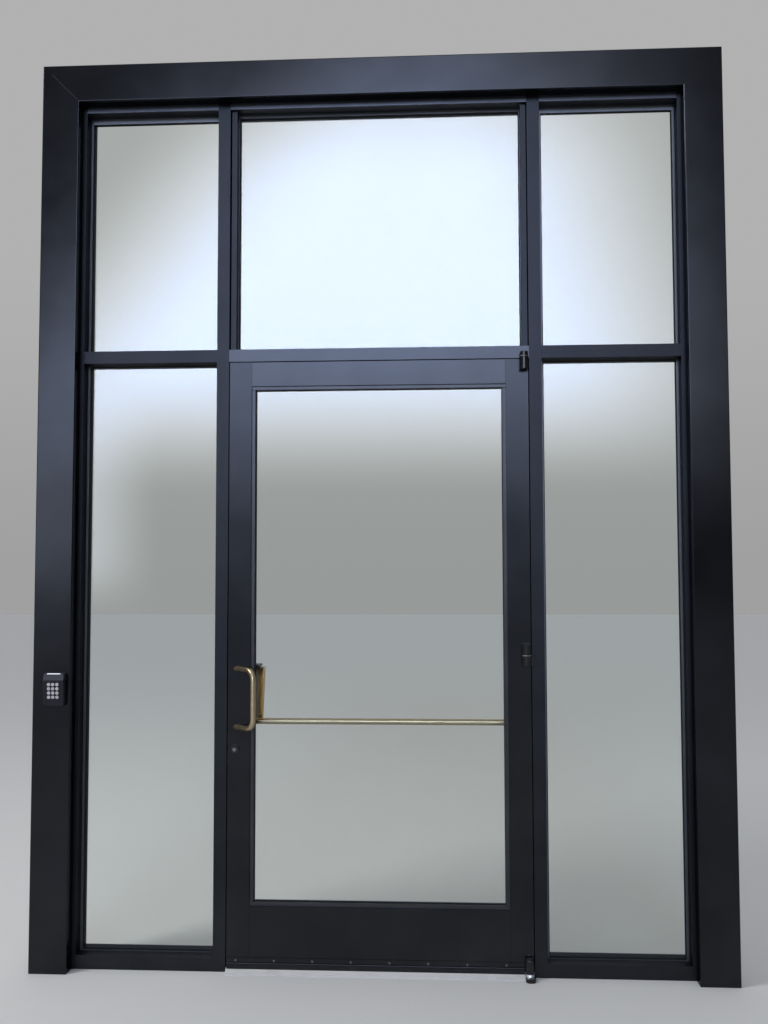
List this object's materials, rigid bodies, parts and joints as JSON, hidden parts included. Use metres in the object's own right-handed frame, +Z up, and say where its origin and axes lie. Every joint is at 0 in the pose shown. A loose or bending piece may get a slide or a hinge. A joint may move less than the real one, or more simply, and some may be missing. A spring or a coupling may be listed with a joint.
{
  "type": "glass entrance door",
  "caption": "Outward-swinging glass entrance door on offset pivots in a storefront frame with glazed sidelights, transom light, folded casing, pull handle, push bar, exit paddle and keypad.",
  "frame": {"origin": "on the floor, half-way across the door opening, in the plane of the frame's street face", "axes": "+X to the right seen from the street, +Y indoors, +Z up; the leaf is closed at rest"},
  "size_m": [2.421, 0.2799, 3.2155],
  "materials": {
    "frame_bronze": "satin dark bronze anodised extrusion",
    "casing_bronze": "satin near-black anodised folded sheet",
    "clear_glass": "clear 6 mm glass",
    "black_rubber": "matt black extruded rubber",
    "grey_pile": "grey pile strip",
    "mill_aluminium": "mill finish, walked dull",
    "black_hardware": "black semi-gloss",
    "bright_steel": "brushed",
    "champagne_metal": "champagne satin anodised",
    "dark_plastic": "satin black",
    "closer_bronze": "dark bronze paint",
    "keypad_black": "fine-grained black",
    "light_bar_white": "translucent white light guide",
    "key_grey": "light grey rubber-coated"
  },
  "bodies": {
    "frame": {"side_jambs": "frame_bronze", "left_mullion": "frame_bronze", "right_mullion": "frame_bronze", "frame_heads": "frame_bronze", "transom_bar": "frame_bronze", "side_rails": "frame_bronze", "side_sills": "frame_bronze", "threshold": "mill_aluminium", "side_panes": "clear_glass", "transom_pane": "clear_glass", "glazing_stops": "frame_bronze", "glazing_gaskets": "black_rubber", "transom_fillers": "frame_bronze", "door_stops": "frame_bronze", "door_weatherstrip": "grey_pile", "head_casing": "casing_bronze", "left_casing": "casing_bronze", "right_casing": "casing_bronze", "pivot_brackets": "black_hardware", "floor_pivot_base": "black_hardware", "pivot_washers": "bright_steel", "latch_strike": "bright_steel", "closer_shoe": "closer_bronze", "keypad_housing": "keypad_black", "keypad_light_bar": "light_bar_white"},
    "door": {"lock_stile": "frame_bronze", "hinge_stile": "frame_bronze", "top_rail": "frame_bronze", "bottom_rail": "frame_bronze", "door_pane": "clear_glass", "door_beads": "frame_bronze", "door_gaskets": "black_rubber", "sweep_retainer": "frame_bronze", "sweep_blade": "black_rubber", "pull_handle": "champagne_metal", "push_bar": "champagne_metal", "lock_cylinder": "black_hardware", "lock_case": "bright_steel", "paddle_base": "dark_plastic", "door_pivots": "black_hardware", "closer_body": "closer_bronze"},
    "closer_arm": {"closer_arm": "closer_bronze"},
    "closer_forearm": {"closer_forearm": "closer_bronze"},
    "latch": {"latch_bolt": "bright_steel"},
    "paddle": {"paddle": "champagne_metal"},
    "plug": {"cylinder_plug": "bright_steel"},
    "key_1": {"key_1": "key_grey"},
    "key_2": {"key_2": "key_grey"},
    "key_3": {"key_3": "key_grey"},
    "key_4": {"key_4": "key_grey"},
    "key_5": {"key_5": "key_grey"},
    "key_6": {"key_6": "key_grey"},
    "key_7": {"key_7": "key_grey"},
    "key_8": {"key_8": "key_grey"},
    "key_9": {"key_9": "key_grey"},
    "key_star": {"key_star": "key_grey"},
    "key_0": {"key_0": "key_grey"},
    "key_hash": {"key_hash": "key_grey"}
  },
  "joints": [
    {"name": "door_swing", "type": "hinge", "parent": "frame", "child": "door", "pos_m": [0.51435, -0.01905, 1], "axis": [0, 0, 1], "range_deg": [0, 95], "stiffness_Nm_per_rad": 15, "springref_deg": -34.38},
    {"name": "closer_arm_turn", "type": "hinge", "parent": "door", "child": "closer_arm", "pos_m": [0.28235, 0.07545, 2.0975], "axis": [0, 0, 1], "range_deg": [-95, 0]},
    {"name": "closer_forearm_turn", "type": "hinge", "parent": "frame", "child": "closer_forearm", "pos_m": [0.29235, 0.09195, 2.108], "axis": [0, 0, 1], "range_deg": [0, 95]},
    {"name": "latch_throw", "type": "slide", "parent": "door", "child": "latch", "axis": [-1, 0, 0], "range_m": [0, 0.014]},
    {"name": "paddle_push", "type": "hinge", "parent": "door", "child": "paddle", "pos_m": [-0.4575, 0.07295, 0.873], "axis": [1, 0, 0], "range_deg": [0, 8], "stiffness_Nm_per_rad": 4, "springref_deg": -8.59},
    {"name": "plug_turn", "type": "hinge", "parent": "door", "child": "plug", "pos_m": [-0.505, 0, 0.762], "axis": [0, 1, 0], "range_deg": [-90, 90]},
    {"name": "key_1_press", "type": "slide", "parent": "frame", "child": "key_1", "axis": [0, 1, 0], "range_m": [0, 0.0012], "stiffness_N_per_m": 400, "springref_m": -0.0006},
    {"name": "key_2_press", "type": "slide", "parent": "frame", "child": "key_2", "axis": [0, 1, 0], "range_m": [0, 0.0012], "stiffness_N_per_m": 400, "springref_m": -0.0006},
    {"name": "key_3_press", "type": "slide", "parent": "frame", "child": "key_3", "axis": [0, 1, 0], "range_m": [0, 0.0012], "stiffness_N_per_m": 400, "springref_m": -0.0006},
    {"name": "key_4_press", "type": "slide", "parent": "frame", "child": "key_4", "axis": [0, 1, 0], "range_m": [0, 0.0012], "stiffness_N_per_m": 400, "springref_m": -0.0006},
    {"name": "key_5_press", "type": "slide", "parent": "frame", "child": "key_5", "axis": [0, 1, 0], "range_m": [0, 0.0012], "stiffness_N_per_m": 400, "springref_m": -0.0006},
    {"name": "key_6_press", "type": "slide", "parent": "frame", "child": "key_6", "axis": [0, 1, 0], "range_m": [0, 0.0012], "stiffness_N_per_m": 400, "springref_m": -0.0006},
    {"name": "key_7_press", "type": "slide", "parent": "frame", "child": "key_7", "axis": [0, 1, 0], "range_m": [0, 0.0012], "stiffness_N_per_m": 400, "springref_m": -0.0006},
    {"name": "key_8_press", "type": "slide", "parent": "frame", "child": "key_8", "axis": [0, 1, 0], "range_m": [0, 0.0012], "stiffness_N_per_m": 400, "springref_m": -0.0006},
    {"name": "key_9_press", "type": "slide", "parent": "frame", "child": "key_9", "axis": [0, 1, 0], "range_m": [0, 0.0012], "stiffness_N_per_m": 400, "springref_m": -0.0006},
    {"name": "key_star_press", "type": "slide", "parent": "frame", "child": "key_star", "axis": [0, 1, 0], "range_m": [0, 0.0012], "stiffness_N_per_m": 400, "springref_m": -0.0006},
    {"name": "key_0_press", "type": "slide", "parent": "frame", "child": "key_0", "axis": [0, 1, 0], "range_m": [0, 0.0012], "stiffness_N_per_m": 400, "springref_m": -0.0006},
    {"name": "key_hash_press", "type": "slide", "parent": "frame", "child": "key_hash", "axis": [0, 1, 0], "range_m": [0, 0.0012], "stiffness_N_per_m": 400, "springref_m": -0.0006}
  ],
  "couplings": [
    {"joint": "closer_arm_turn", "follows": "door_swing", "ratio": -1},
    {"joint": "closer_forearm_turn", "follows": "door_swing", "ratio": 1}
  ]
}
